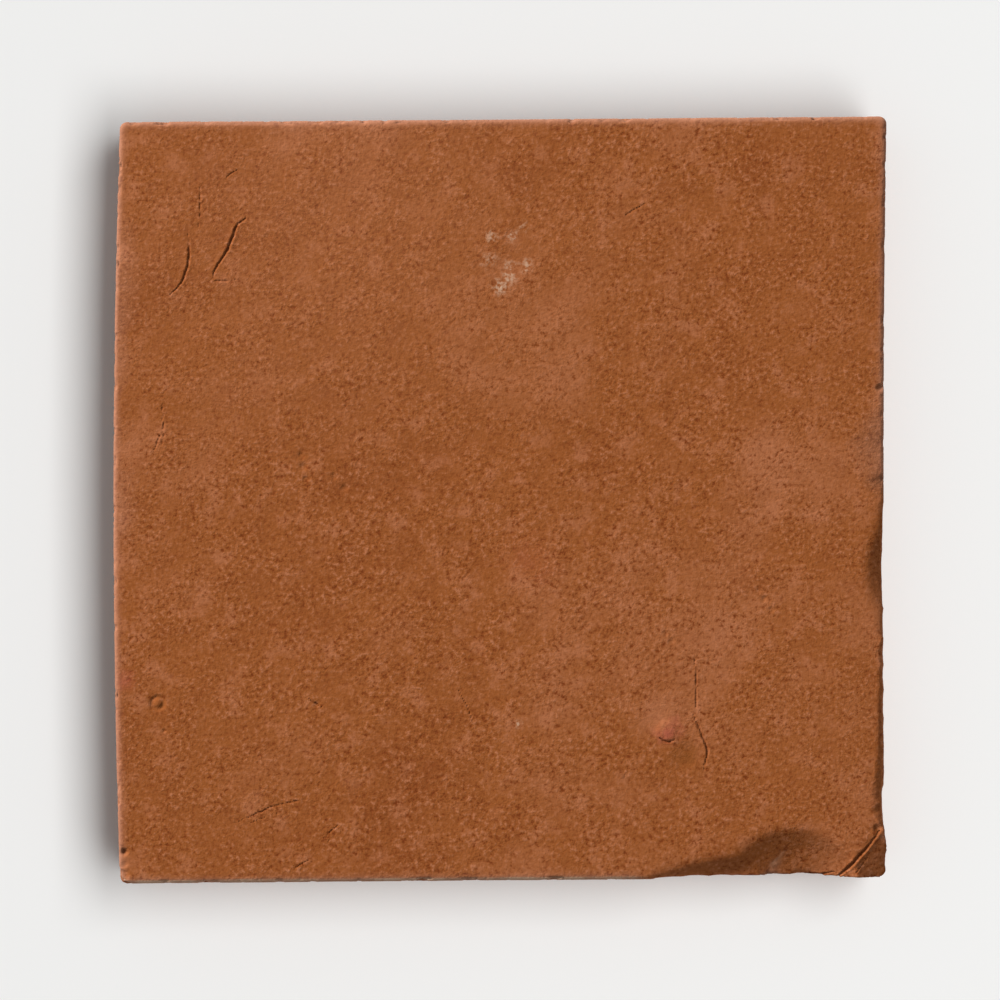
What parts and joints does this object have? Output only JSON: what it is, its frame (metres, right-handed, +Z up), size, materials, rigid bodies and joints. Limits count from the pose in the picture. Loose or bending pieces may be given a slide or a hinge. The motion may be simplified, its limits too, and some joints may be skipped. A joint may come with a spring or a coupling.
{
  "type": "terracotta floor tile",
  "caption": "Square handmade terracotta floor tile, a plain slab of fired clay with soft worn edges, undercut sides, a thumb hollow, a pressed edge and a dropped corner.",
  "frame": {"origin": "middle of the bed face, on the surface that the tile lies on", "axes": "+Z up from the bed to the worn face, X across the face, Y along it, with the thumb hollow at the -Y edge near +X"},
  "size_m": [0.2012, 0.1996, 0.0198],
  "materials": {
    "terracotta": "matte"
  },
  "bodies": {
    "root": {"floor_tile": "terracotta"}
  },
  "joints": []
}
